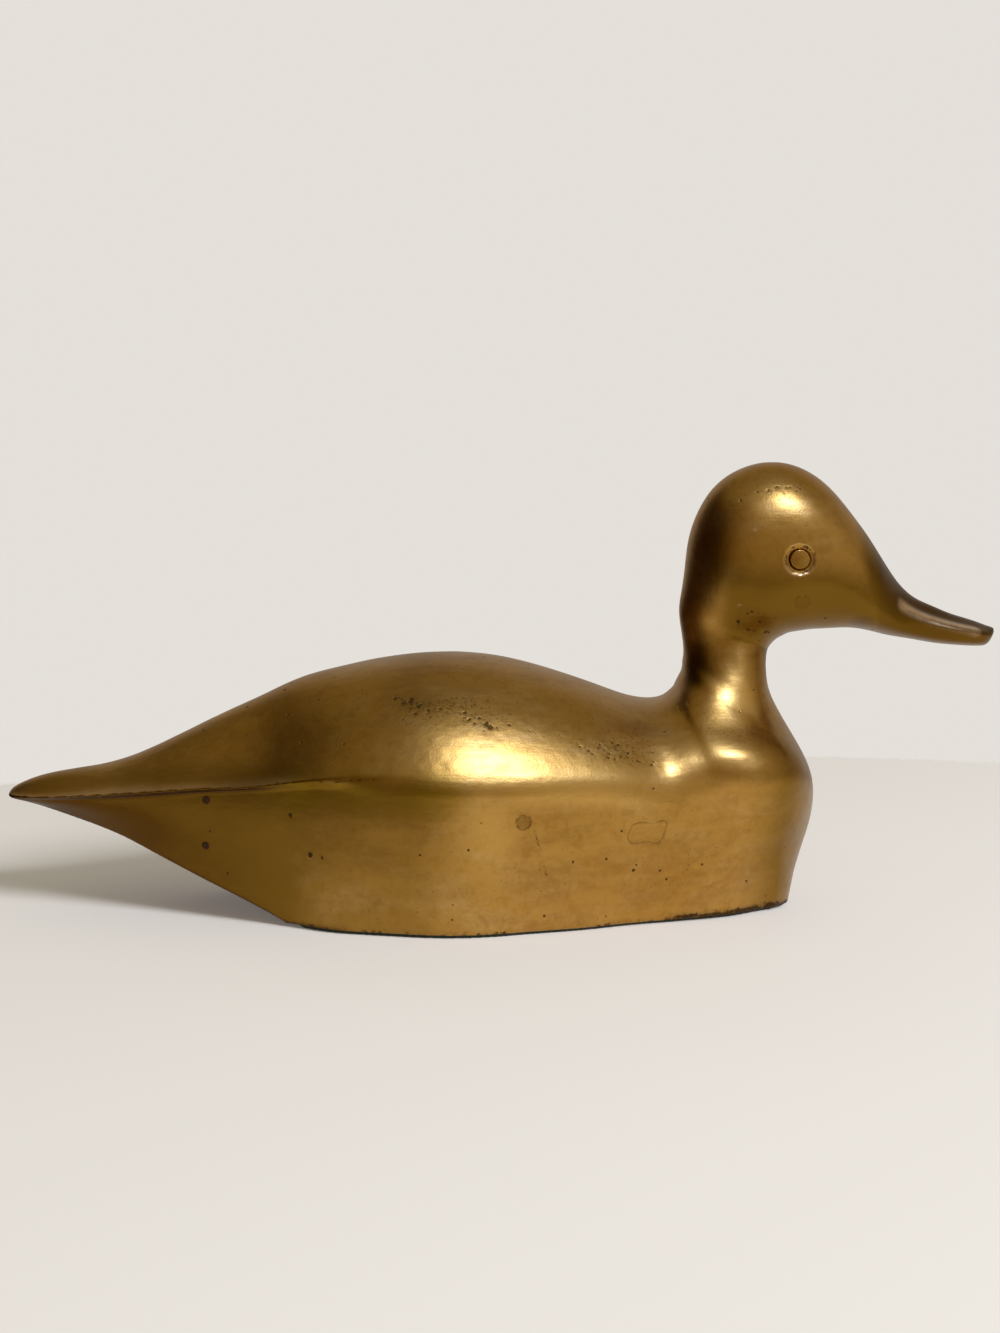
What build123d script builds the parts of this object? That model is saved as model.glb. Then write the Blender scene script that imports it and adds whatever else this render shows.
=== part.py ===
from build123d import *

import os

# A cast brass duck that stands on a flat base. X runs from the tail to the bill, Y to the duck's
# left and Z up. The origin is on the ground, under the middle of the duck's length.

# Overall sizes, in millimetres
duck_length = 280.0
duck_height = 126.3
body_width = 92.0
neck_width = 22.6
head_width = 38.0
bill_width = 18.4
wall = 4.0

# Base felt
felt_thickness = 1.0
felt_inset = 1.2

# Neck joint: a spigot on the head stands in a bore of the body's neck, and brazing metal fills
# the joint between the two castings
braze_thickness = 0.8
spigot_diameter = 14.6
spigot_length = 9.0
spigot_clearance = 0.1
spigot_gap = 3.0
vent_diameter = 8.0
vent_depth = 16.0

# Eyes: a domed stud in a seat, with a groove round it
eye_diameter = 5.4
eye_proud = 0.3
eye_seat_depth = 3.0
eye_groove_width = 1.5
eye_groove_depth = 0.7

# Plugs, pins and the patch. A plug goes through the wall and a little further.
flank_plug_diameter = 3.9
cheek_plug_diameter = 4.0
pin_diameter = 2.4
plug_overlength = 1.0
patch_length = 10.0
patch_height = 5.7
patch_depth = 1.5
patch_corner = 1.6

# Reach of the blocks and drills that cut the castings, past what they cut
overrun = 40.0

# Where things lie on the sides. The X shares are of the length, from the middle to the bill or the
# tail, and the Z shares are of the height.
eye_share = (0.2950, 0.7960)
cheek_plug_share = (0.2990, 0.7020)
flank_plug_share = (0.0230, 0.2490)
patch_share = (0.1440, 0.2070)
low_pin_share = (-0.2920, 0.1680)
high_pin_share = (-0.2900, 0.2720)

# The casting is a chain of flat sections. Each one runs from a bottom point to a top point on the
# middle plane. On each side it has four stretches: over the top to the rim of the tail plate or
# the shoulder, under the rim to the ledge, down the flank, and across the bottom.
# The two end points are shares of the length and of the height. A width is a share of half the
# width of the body, neck, head or bill, and a level is a share of the way from bottom to top.
# The shares of a handle say how far the curve keeps its way where it leaves a point: crown at the
# top, inward and upward at the rim, and how smoothly the back turns under at the rim.

# Tail and body, where the flank ends in an edge:
# bottom, top, rim (width, level), ledge, edge, crown, inward, upward, smooth
edged_shares = [
    ((-0.500, 0.250), (-0.500, 0.261), (0.075, 0.57), (0.066, 0.25), (0.035, 0.05), 0.45, 0.40, 0.30, 0),
    ((-0.494, 0.244), (-0.494, 0.272), (0.135, 0.40), (0.115, 0.20), (0.057, 0.04), 0.45, 0.40, 0.20, 0),
    ((-0.480, 0.236), (-0.480, 0.287), (0.196, 0.40), (0.153, 0.25), (0.070, 0.03), 0.45, 0.40, 0.10, 0),
    ((-0.461, 0.224), (-0.461, 0.300), (0.252, 0.47), (0.200, 0.35), (0.078, 0.02), 0.45, 0.40, 0.08, 0),
    ((-0.429, 0.203), (-0.429, 0.312), (0.322, 0.58), (0.261, 0.49), (0.130, 0.02), 0.45, 0.40, 0.08, 0),
    ((-0.388, 0.174), (-0.388, 0.330), (0.398, 0.65), (0.333, 0.58), (0.213, 0.02), 0.45, 0.40, 0.08, 0),
    ((-0.339, 0.126), (-0.339, 0.375), (0.485, 0.65), (0.422, 0.60), (0.333, 0.02), 0.45, 0.40, 0.08, 0),
    ((-0.289, 0.079), (-0.289, 0.430), (0.580, 0.63), (0.522, 0.60), (0.448, 0.01), 0.45, 0.40, 0.08, 0),
    ((-0.240, 0.033), (-0.240, 0.480), (0.683, 0.62), (0.637, 0.60), (0.570, 0.01), 0.45, 0.40, 0.10, 0),
    ((-0.204, 0.001), (-0.204, 0.516), (0.765, 0.63), (0.738, 0.60), (0.674, 0), 0.48, 0.34, 0.16, 0.1),
    ((-0.166, -0.032), (-0.166, 0.541), (0.842, 0.65), (0.835, 0.61), (0.826, 0), 0.50, 0.24, 0.26, 0.4),
    ((-0.118, -0.071), (-0.118, 0.563), (0.902, 0.67), (0.928, 0.60), (0.913, 0.02), 0.54, 0.17, 0.37, 0.8),
    ((-0.057, -0.095), (-0.057, 0.575), (0.948, 0.67), (0.990, 0.60), (0.987, 0.04), 0.53, 0.16, 0.43, 1),
    ((-0.014, -0.095), (-0.014, 0.570), (0.936, 0.67), (0.978, 0.60), (0.965, 0.04), 0.53, 0.16, 0.43, 1),
    ((0.036, -0.095), (0.036, 0.546), (0.897, 0.69), (0.935, 0.62), (0.850, 0.04), 0.53, 0.16, 0.43, 1),
    ((0.086, -0.095), (0.086, 0.510), (0.827, 0.73), (0.866, 0.65), (0.738, 0.04), 0.54, 0.15, 0.42, 1),
    ((0.132, -0.095), (0.126, 0.478), (0.758, 0.76), (0.800, 0.67), (0.590, 0.04), 0.55, 0.14, 0.40, 1),
    ((0.175, -0.095), (0.146, 0.470), (0.712, 0.76), (0.752, 0.67), (0.492, 0.04), 0.55, 0.13, 0.40, 1),
    ((0.214, -0.095), (0.158, 0.471), (0.686, 0.76), (0.722, 0.66), (0.405, 0.05), 0.55, 0.12, 0.41, 1),
    ((0.251, -0.087), (0.167, 0.478), (0.668, 0.76), (0.700, 0.66), (0.308, 0.06), 0.55, 0.10, 0.42, 1),
    ((0.282, -0.052), (0.173, 0.489), (0.655, 0.74), (0.682, 0.64), (0.200, 0.07), 0.55, 0.08, 0.45, 1),
]

# Breast and neck, where the flank rounds into the breast:
# bottom, top, rim, ledge, (how far the round keeps down and across), crown, inward, upward
breast_shares = [
    ((0.301, 0.083), (0.177, 0.500), (0.652, 0.66), (0.672, 0.56), (0.50, 0.42), 0.55, 0.05, 0.50),
    ((0.315, 0.192), (0.180, 0.516), (0.628, 0.52), (0.640, 0.45), (0.50, 0.47), 0.55, 0.02, 0.52),
    ((0.318, 0.281), (0.184, 0.535), (0.545, 0.42), (0.550, 0.36), (0.50, 0.52), 0.55, 0, 0.55),
    ((0.302, 0.372), (0.185, 0.557), (0.425, 0.42), (0.427, 0.36), (0.55, 0.55), 0.55, 0, 0.55),
    ((0.281, 0.453), (0.186, 0.578), (0.328, 0.44), (0.328, 0.38), (0.55, 0.55), 0.55, 0, 0.55),
]

# Upper neck, in the same order, with the joint in the middle one
neck_shares = [
    ((0.271, 0.515), (0.185, 0.602), (1.120, 0.47), (1.120, 0.41), (0.55, 0.55), 0.55, 0, 0.55),
    ((0.271, 0.580), (0.183, 0.629), (1.030, 0.50), (1.030, 0.44), (0.55, 0.55), 0.55, 0, 0.55),
    ((0.274, 0.593), (0.181, 0.669), (1.045, 0.52), (1.045, 0.45), (0.55, 0.55), 0.55, 0, 0.55),
]

# Head, in the same order
head_shares = [
    ((0.279, 0.605), (0.183, 0.709), (0.705, 0.52), (0.705, 0.45), (0.55, 0.55), 0.55, 0, 0.55),
    ((0.285, 0.613), (0.186, 0.756), (0.800, 0.52), (0.800, 0.45), (0.55, 0.55), 0.55, 0, 0.55),
    ((0.291, 0.620), (0.189, 0.816), (0.895, 0.50), (0.895, 0.42), (0.55, 0.55), 0.55, 0, 0.55),
    ((0.300, 0.624), (0.198, 0.883), (0.960, 0.50), (0.960, 0.40), (0.55, 0.55), 0.55, 0, 0.55),
    ((0.311, 0.628), (0.217, 0.949), (0.990, 0.49), (0.990, 0.38), (0.55, 0.60), 0.55, 0, 0.55),
    ((0.323, 0.630), (0.250, 0.993), (1.000, 0.48), (1.000, 0.36), (0.50, 0.60), 0.55, 0, 0.55),
    ((0.338, 0.632), (0.288, 0.998), (0.985, 0.48), (0.985, 0.36), (0.50, 0.60), 0.55, 0, 0.55),
    ((0.352, 0.633), (0.323, 0.961), (0.935, 0.48), (0.935, 0.34), (0.50, 0.60), 0.55, 0, 0.55),
    ((0.367, 0.629), (0.355, 0.884), (0.840, 0.50), (0.840, 0.32), (0.50, 0.60), 0.55, 0, 0.50),
    ((0.382, 0.621), (0.380, 0.805), (0.700, 0.56), (0.710, 0.30), (0.50, 0.60), 0.55, 0.05, 0.45),
    ((0.396, 0.614), (0.399, 0.741), (0.500, 0.66), (0.600, 0.30), (0.50, 0.60), 0.50, 0.15, 0.35),
]

# Bill, in the same order
bill_shares = [
    ((0.414, 0.608), (0.417, 0.702), (0.800, 0.74), (1.090, 0.30), (0.55, 0.60), 0.50, 0.30, 0.30),
    ((0.434, 0.600), (0.436, 0.681), (0.700, 0.76), (1.030, 0.32), (0.55, 0.60), 0.50, 0.35, 0.25),
    ((0.455, 0.595), (0.457, 0.662), (0.710, 0.78), (1.000, 0.34), (0.55, 0.60), 0.50, 0.35, 0.25),
    ((0.470, 0.593), (0.473, 0.651), (0.690, 0.79), (0.950, 0.36), (0.55, 0.60), 0.50, 0.35, 0.28),
    ((0.480, 0.592), (0.485, 0.642), (0.640, 0.80), (0.850, 0.40), (0.55, 0.60), 0.50, 0.30, 0.35),
    ((0.487, 0.592), (0.492, 0.636), (0.540, 0.80), (0.680, 0.42), (0.55, 0.60), 0.50, 0.25, 0.40),
    ((0.491, 0.594), (0.498, 0.632), (0.390, 0.80), (0.470, 0.44), (0.55, 0.60), 0.50, 0.20, 0.45),
    ((0.493, 0.597), (0.500, 0.629), (0.250, 0.78), (0.290, 0.45), (0.55, 0.60), 0.50, 0.20, 0.45),
]

# How straight the flank and the bottom run to the edge between them
edge_share = 0.35

# Which sections the cores follow, set in by the wall, and which one the neck joint follows
body_core = slice(6, 26)
head_core = slice(30, 37)
joint = 27


class Section:
    """One flat section of the duck, or of its core when it is set in by the wall."""

    def __init__(self, width, bottom, top, rim, ledge, edge, rounding, crown, inward, upward, smooth=1):
        self.bottom = Vector(bottom[0] * duck_length, 0, bottom[1] * duck_height)
        self.top = Vector(top[0] * duck_length, 0, top[1] * duck_height)
        self.rise = (self.top - self.bottom).length
        self.up = (self.top - self.bottom).normalized()
        self.rim = self.level(width, rim)
        self.ledge = self.level(width, ledge)
        self.edge = self.level(width, edge) if edge else None
        self.rounding = rounding
        self.crown = crown
        self.inward = inward
        self.upward = upward
        self.smooth = smooth

    def level(self, width, shares):
        return (shares[0] * width / 2, shares[1] * self.rise)

    def over_the_top(self, top, rim):
        drop = top[1] - rim[1]
        near_top = (self.crown * rim[0], top[1])
        near_rim = (rim[0] - self.inward * rim[0], rim[1] + self.upward * drop)
        return [top, near_top, near_rim, rim]

    def under_the_rim(self, near_rim, rim, ledge):
        """Straight under the tail plate, and in one round with the back elsewhere."""
        fall = (rim[1] - ledge[1]) / 3
        pace = fall / (near_rim[1] - rim[1])
        onward = (rim[0] + pace * (rim[0] - near_rim[0]), rim[1] - fall)
        upright = (ledge[0], ledge[1] + fall)
        first = between(between(rim, ledge, 1 / 3), onward, self.smooth)
        second = between(between(rim, ledge, 2 / 3), upright, self.smooth)
        return [rim, first, second, ledge]

    def down_to_an_edge(self, ledge, edge, bottom):
        drop = ledge[1] - edge[1]
        near_ledge = (ledge[0], ledge[1] - edge_share * drop)
        flank = [ledge, near_ledge, between(edge, ledge, edge_share), edge]
        base = [edge, between(edge, bottom, edge_share), (edge_share * edge[0], bottom[1]), bottom]
        return flank, base

    def round_to_the_bottom(self, ledge, bottom):
        down, across = self.rounding
        low = (ledge[0], ledge[1] - down * (ledge[1] - bottom[1]))
        wide = (across * ledge[0], bottom[1])
        return halves([ledge, low, wide, bottom])

    def stretches(self, inset):
        """The control points of one side, from top to bottom, in width and level."""
        top = (0, self.rise - inset)
        bottom = (0, inset)
        ledge = (self.ledge[0] - inset, self.ledge[1])
        rim = self.rim
        if inset:
            rim = (min(self.rim[0], self.ledge[0]) - inset, self.rim[1])
        back = self.over_the_top(top, rim)
        turn = self.under_the_rim(back[2], rim, ledge)
        if self.edge:
            edge = (self.edge[0] - inset, self.edge[1] + inset)
            flank, base = self.down_to_an_edge(ledge, edge, bottom)
        else:
            flank, base = self.round_to_the_bottom(ledge, bottom)
        return [back, turn, flank, base]

    def wire(self, inset=0):
        right = []
        left = []
        for points in self.stretches(inset):
            right.append(Bezier(*[self.place(point, -1) for point in points]))
            left.insert(0, Bezier(*[self.place(point, 1) for point in reversed(points)]))
        return Wire(right + left)

    def place(self, point, side):
        return self.bottom + self.up * point[1] + Vector(0, side * point[0], 0)


def between(start, end, share):
    return (start[0] + share * (end[0] - start[0]), start[1] + share * (end[1] - start[1]))


def halves(points):
    """Cut one cubic curve into two at its middle."""
    first, second, third, last = points
    early = between(first, second, 1 / 2)
    mid = between(second, third, 1 / 2)
    late = between(third, last, 1 / 2)
    before = between(early, mid, 1 / 2)
    after = between(mid, late, 1 / 2)
    middle = between(before, after, 1 / 2)
    return [first, early, before, middle], [middle, after, late, last]


def duck_sections():
    sections = []
    for bottom, top, rim, ledge, edge, *handles in edged_shares:
        sections.append(Section(body_width, bottom, top, rim, ledge, edge, None, *handles))
    blocks = [(body_width, breast_shares), (neck_width, neck_shares)]
    blocks += [(head_width, head_shares), (bill_width, bill_shares)]
    for width, shares in blocks:
        for bottom, top, rim, ledge, rounding, *handles in shares:
            sections.append(Section(width, bottom, top, rim, ledge, None, rounding, *handles))
    return sections


def skin(sections, inset=0):
    return Solid.make_loft([section.wire(inset) for section in sections])


def above(plane):
    """A block that fills the side of a plane that its normal points to."""
    reach = duck_length + overrun
    return plane * Box(2 * reach, 2 * reach, reach, align=(Align.CENTER, Align.CENTER, Align.MIN))


def drill(plane, diameter, depth, out=0):
    """A round tool that goes in by its depth along a plane's normal, and stands out as far as told."""
    align = (Align.CENTER, Align.CENTER, Align.MIN)
    return plane * Pos(0, 0, -depth) * Cylinder(diameter / 2, depth + out, align=align)


def touch_plane(shape, share, side):
    """The plane that touches one side of the duck at a place given by its shares."""
    start = Vector(share[0] * duck_length, side * body_width, share[1] * duck_height)
    hits = shape.shell().find_intersection_points(Axis(start, (0, -side, 0)))
    point, normal = min(hits, key=lambda hit: (hit[0] - start).length)
    if normal.Y * side < 0:
        normal = -normal
    return Plane(origin=point, x_dir=Vector(0, 0, 1).cross(normal), z_dir=normal)


def neck_plane(section):
    """The plane of the neck joint, with its normal up the neck."""
    middle = (section.bottom + section.top) / 2
    return Plane(origin=middle, x_dir=section.up, z_dir=Vector(0, 1, 0).cross(section.up))


def eye_seat(plane):
    seat = drill(plane, eye_diameter, eye_seat_depth, overrun)
    ring = drill(plane, eye_diameter + 2 * eye_groove_width, eye_groove_depth, overrun)
    return seat + ring


def eye_stud(plane):
    dome_radius = ((eye_diameter / 2) ** 2 + eye_proud ** 2) / (2 * eye_proud)
    dome = plane * Pos(0, 0, eye_proud - dome_radius) * Sphere(dome_radius)
    return drill(plane, eye_diameter, eye_seat_depth, eye_proud) & dome


def patch_block(plane):
    face = plane * Pos(0, 0, -patch_depth) * RectangleRounded(patch_length, patch_height, patch_corner)
    return extrude(face, patch_depth + overrun / 2, dir=plane.z_dir)


sections = duck_sections()
outside = skin(sections)
joint_plane = neck_plane(sections[joint])
braze_top = joint_plane.offset(braze_thickness / 2)
braze_bottom = joint_plane.offset(-braze_thickness / 2)
rim_plane = Plane.XY.offset(felt_thickness)
sides = (1, -1)

# Where the small pieces go in, and the tools that make their seats
eye_planes = [touch_plane(outside, eye_share, side) for side in sides]
plug_length = wall + plug_overlength
flank_drills = [drill(touch_plane(outside, flank_plug_share, side), flank_plug_diameter, plug_length, wall)
                for side in sides]
cheek_drills = [drill(touch_plane(outside, cheek_plug_share, side), cheek_plug_diameter, plug_length, wall)
                for side in sides]
pin_drills = [drill(touch_plane(outside, share, side), pin_diameter, plug_length, wall)
              for share in (low_pin_share, high_pin_share) for side in sides]
patch_tool = patch_block(touch_plane(outside, patch_share, -1))

# Body casting
bore_diameter = spigot_diameter + 2 * spigot_clearance
neck_bore = drill(braze_top, bore_diameter, braze_thickness + spigot_length + spigot_gap)
body = outside - above(braze_bottom) - above(-rim_plane)
body = body - skin(sections[body_core], wall) - neck_bore
for tool in flank_drills + pin_drills + [patch_tool]:
    body = body - tool

# Head casting
head = outside - above(-braze_top) - skin(sections[head_core], wall)
for plane in eye_planes:
    head = head - eye_seat(plane)
for tool in cheek_drills:
    head = head - tool
spigot = drill(braze_top, spigot_diameter, braze_thickness + spigot_length, braze_thickness)
vent = drill(braze_top, vent_diameter, braze_thickness + spigot_length, vent_depth)
head = head + spigot - vent

parts = {
    "body_casting": body,
    "head_casting": head,
    "neck_braze_ring": outside - above(braze_top) - above(-braze_bottom) - neck_bore,
    "left_eye_stud": eye_stud(eye_planes[0]),
    "right_eye_stud": eye_stud(eye_planes[1]),
    "body_core_plugs": Compound([(tool & outside).solid() for tool in flank_drills]),
    "cheek_core_plugs": Compound([(tool & outside).solid() for tool in cheek_drills]),
    "tail_core_pins": Compound([(tool & outside).solid() for tool in pin_drills]),
    "flank_patch": patch_tool & outside,
    "base_felt": skin(sections, felt_inset) - above(rim_plane) - above(-Plane.XY),
}

os.makedirs("parts", exist_ok=True)
for name, shape in parts.items():
    export_step(shape, f"parts/{name}.step")
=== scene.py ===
"""An old cast brass duck on its felted base: worn castings, eye studs, plugs, pins, patch and felt."""

import math
import random

import bpy
import numpy as np
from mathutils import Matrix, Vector
from mathutils.bvhtree import BVHTree


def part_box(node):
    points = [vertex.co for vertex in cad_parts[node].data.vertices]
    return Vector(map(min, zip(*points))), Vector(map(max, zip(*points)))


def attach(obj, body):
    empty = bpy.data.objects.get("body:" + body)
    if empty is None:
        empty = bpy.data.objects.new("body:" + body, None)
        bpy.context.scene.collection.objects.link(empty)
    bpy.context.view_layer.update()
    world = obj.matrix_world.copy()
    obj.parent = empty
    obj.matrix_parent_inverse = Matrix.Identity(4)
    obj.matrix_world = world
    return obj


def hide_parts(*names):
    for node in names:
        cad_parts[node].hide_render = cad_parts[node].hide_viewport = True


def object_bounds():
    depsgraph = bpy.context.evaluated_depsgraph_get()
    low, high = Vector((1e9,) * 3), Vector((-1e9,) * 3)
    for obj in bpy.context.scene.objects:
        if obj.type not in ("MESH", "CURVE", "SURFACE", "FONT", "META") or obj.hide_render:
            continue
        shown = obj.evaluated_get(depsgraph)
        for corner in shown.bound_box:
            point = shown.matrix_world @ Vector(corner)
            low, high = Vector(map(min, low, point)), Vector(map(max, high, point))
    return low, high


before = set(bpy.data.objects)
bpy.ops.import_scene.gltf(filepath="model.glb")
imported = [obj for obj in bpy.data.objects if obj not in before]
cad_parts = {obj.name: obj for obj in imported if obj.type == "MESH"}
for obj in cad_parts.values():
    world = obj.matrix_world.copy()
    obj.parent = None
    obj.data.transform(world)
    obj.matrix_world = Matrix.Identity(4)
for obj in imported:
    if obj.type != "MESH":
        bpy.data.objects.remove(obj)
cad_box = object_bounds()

# Places and sizes on the duck are given in millimetres, and this turns them into metres. The
# table, the lamps and the camera are in metres.
mm = 0.001

# How finely the castings are meshed.
fine_voxel = 0.5 * mm
voxel = fine_voxel

# The let-in pieces, the eye studs and the felt are meshed at one fineness each.
let_in_voxel = 0.2 * mm
stud_voxel = 0.15 * mm
felt_voxel = 0.5 * mm

# Triangles kept for the skin that shows, and for the walls of the hollow inside
outer_triangles = 205000
inner_triangles = 36000

# Weld distance for the loose triangles of a CAD mesh
weld = 0.002 * mm


# Handling of meshes

def pick_only(piece):
    """Make one piece the selected and active one."""
    bpy.ops.object.select_all(action="DESELECT")
    piece.select_set(True)
    bpy.context.view_layer.objects.active = piece


def copy_of(node_name, name):
    """A loose copy of a CAD node, with a mesh of its own."""
    piece = bpy.data.objects.new(name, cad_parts[node_name].data.copy())
    bpy.context.scene.collection.objects.link(piece)
    piece.data.materials.clear()
    return piece


def welded_copy(node_names, name):
    """The copies of some CAD nodes as one mesh, with their loose triangles welded."""
    copies = [copy_of(node_name, name) for node_name in node_names]
    pick_only(copies[0])
    for piece in copies:
        piece.select_set(True)
    if len(copies) > 1:
        bpy.ops.object.join()
    whole = copies[0]
    whole.name = name
    bpy.ops.object.mode_set(mode="EDIT")
    bpy.ops.mesh.select_all(action="SELECT")
    bpy.ops.mesh.remove_doubles(threshold=weld)
    bpy.ops.mesh.customdata_custom_splitnormals_clear()
    bpy.ops.object.mode_set(mode="OBJECT")
    return whole


def work(piece, kind, **settings):
    """Put a modifier on a piece and apply it."""
    pick_only(piece)
    modifier = piece.modifiers.new(kind.lower(), kind)
    for setting, value in settings.items():
        setattr(modifier, setting, value)
    bpy.ops.object.modifier_apply(modifier=modifier.name)


def points_of(piece):
    points = np.empty(len(piece.data.vertices) * 3, np.float32)
    piece.data.vertices.foreach_get("co", points)
    return points.reshape(-1, 3)


def normals_of(piece):
    normals = np.empty(len(piece.data.vertices) * 3, np.float32)
    piece.data.vertices.foreach_get("normal", normals)
    return normals.reshape(-1, 3)


def move_points(piece, points):
    piece.data.vertices.foreach_set("co", points.astype(np.float32).ravel())
    piece.data.update()


def paint(piece, name, amounts):
    """Keep a number for each point of a piece, for its material to read."""
    layer = piece.data.attributes.new(name, "FLOAT", "POINT")
    layer.data.foreach_set("value", amounts.astype(np.float32))


def smooth_all(piece):
    pick_only(piece)
    bpy.ops.object.shade_smooth()


def fall_off(share):
    """1 where a share is 0, and softly down to 0 where it is 1 or more."""
    left = np.clip(1 - share, 0, 1)
    return left * left * (3 - 2 * left)


def fade(values, full, gone):
    """1 up to the value where something is at its full, softly down to 0 where it is gone."""
    return fall_off((values - full) / (gone - full))


def climb(values, none, full):
    """Evenly from 0 to 1 between two values."""
    return np.clip((values - none) / (full - none), 0, 1)


def zone(points, centre, reach):
    """How much each point belongs to a soft oval zone. Its reach is given along each axis."""
    away = (points / mm - np.array(centre)) / np.array(reach)
    return fall_off(np.linalg.norm(away, axis=1))


def zones(points, spots, join=np.maximum):
    """Some soft oval zones together, each with its place, reach and strength."""
    amount = np.zeros(len(points))
    for place, reach, strength in spots:
        amount = join(amount, strength * zone(points, place, reach))
    return amount


def folded(points):
    """Points of the near side folded over onto the far one, where y is positive."""
    return points * np.array((1, 0, 1)) + np.abs(points) * np.array((0, 1, 0))


def flattened(points):
    """Points put on the middle plane."""
    return points * np.array((1, 0, 1))


def most(points, spots):
    """How much each point belongs to the nearest of some round spots."""
    amount = np.zeros(len(points))
    for centre, radius in spots:
        away = points - np.array(centre)
        close = np.nonzero(np.abs(away).max(axis=1) < radius)[0]
        share = np.linalg.norm(away[close], axis=1) / radius
        amount[close] = np.maximum(amount[close], fall_off(share))
    return amount


# Surface waves

def clouds(name, size):
    """A soft lumpy pattern for moving a surface in and out."""
    pattern = bpy.data.textures.new(name, "CLOUDS")
    pattern.noise_scale = size
    pattern.noise_depth = 2
    return pattern


def lumpy(piece, name, size, height):
    """Move a surface in and out by soft waves."""
    work(piece, "DISPLACE", texture=clouds(name, size), texture_coords="LOCAL",
         strength=height, mid_level=0.5)


# What filing and rubbing left: the size of the waves and their height
file_waves = (26 * mm, 0.34 * mm)
rubbed_waves = (7 * mm, 0.03 * mm)


# The casting

rim_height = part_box("base_felt")[1].z

fused_nodes = ["body_casting", "neck_braze_ring", "head_casting", "body_core_plugs",
               "cheek_core_plugs", "tail_core_pins", "flank_patch"]


# Marks of the near side, in millimetres: pits as (radius, places), and lines as (radius, corners)
crown_pits = (0.5, [(71.1, -12.6, 118.8), (74.1, -12.7, 119.3), (76.9, -12.5, 120.2),
                     (80.2, -12.4, 119.9), (83.0, -12.2, 119.3)])
neck_pits = (0.7, [(66.2, -13.6, 82.7), (69.1, -12.7, 80.4), (72.2, -9.8, 77.2), (68.5, -10.9, 76.8),
                   (72.2, -14.3, 82.8), (69.8, -15.9, 85.7), (74.0, -11.3, 79.7)])
back_pits = (0.75, [(-28.8, -26.5, 63.1), (-26.8, -28.4, 62.3), (-24.6, -28.3, 62.8),
                    (-21.8, -29.7, 62.2), (-19.6, -31.5, 61.1), (-23.1, -32.0, 60.0),
                    (-16.3, -31.3, 61.6), (-9.5, -32.5, 60.7), (-8.1, -34.0, 59.2),
                    (-5.4, -33.5, 59.4), (-3.5, -35.0, 57.7), (-2.7, -35.6, 57.0)])
wide_pits = (1.15, [(-24.3, -27.7, 63.3), (-22.3, -30.2, 61.7), (-2.4, -35.3, 57.2),
                    (-3.5, -34.8, 58.0), (-57.2, -33.7, 31.9), (-51.7, -35.8, 21.3)])
speckles = (0.6, [(27.2, -32.9, 51.1), (29.9, -34.4, 48.6), (32.8, -30.1, 51.5), (35.4, -31.6, 49.5),
                  (38.1, -32.8, 47.8), (24.4, -34.4, 50.5), (42.2, -32.6, 46.9), (65.1, -20.0, 54.1),
                  (65.9, -20.6, 52.8), (75.6, -17.5, 51.5), (77.4, -17.1, 50.1)])
lone_pits = (0.65, [(52.9, -15.6, 59.7), (55.8, -13.5, 62.2), (55.8, -29.3, 16.9), (44.1, -32.2, 15.8),
                    (36.6, -34.3, 16.5), (19.8, -39.6, 20.1), (68.7, -19.6, 10.6), (2.7, -33.7, 57.5),
                    (-48.4, -37.5, 20.8), (-60.7, -6.0, 62.6), (90.6, -12.3, 83.7)])

# How many smaller pits are scattered round one pit of each group
pit_groups = [(crown_pits, 1), (neck_pits, 3), (back_pits, 3), (wide_pits, 0), (speckles, 2),
              (lone_pits, 0)]
scratches = [
    (0.45, [(49.3, -11.7, 60.0), (50.1, -16.3, 58.1), (52.2, -17.4, 58.2)]),
    (0.45, [(54.7, -14.5, 60.9), (56.5, -15.4, 60.5)]),
    (0.6, [(9.6, -42.6, 28.4), (10.2, -42.3, 25.9), (11.0, -42.0, 24.0)]),
    (0.6, [(11.9, -41.4, 19.4), (12.6, -41.2, 16.8)]),
    (0.5, [(52.1, -31.6, 20.4), (51.7, -30.2, 15.9)]),
    (0.4, [(64.5, -11.3, 76.0), (68.5, -10.8, 75.9)]),
]
crease = [(-59.0, -33.5, 40.6), (-45.0, -39.5, 42.0), (-33.0, -42.8, 43.4), (-21.0, -45.0, 45.4)]
bill_ridge = [(113.0, -9.4, 87.2), (120.0, -8.8, 84.2), (125.0, -8.4, 82.2),
              (129.0, -8.2, 80.9), (133.0, -7.6, 79.8)]
pit_depth = 0.10 * mm
scratch_depth = 0.05 * mm
fold_radius = 1.1 * mm
ridge_radius = 3.0 * mm
luck = random.Random(11)


def on_skin(tree, place):
    """The place on the skin that is nearest to one in millimetres."""
    return np.array(tree.find_nearest(Vector(place) * mm)[0])


def along(tree, corners, step=0.5):
    """Places on the skin along a line with corners, a step apart."""
    places = []
    for start, end in zip(corners, corners[1:]):
        start, end = Vector(start), Vector(end)
        count = max(1, round((end - start).length / step))
        places += [on_skin(tree, start.lerp(end, k / count)) for k in range(count + 1)]
    return places


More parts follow.
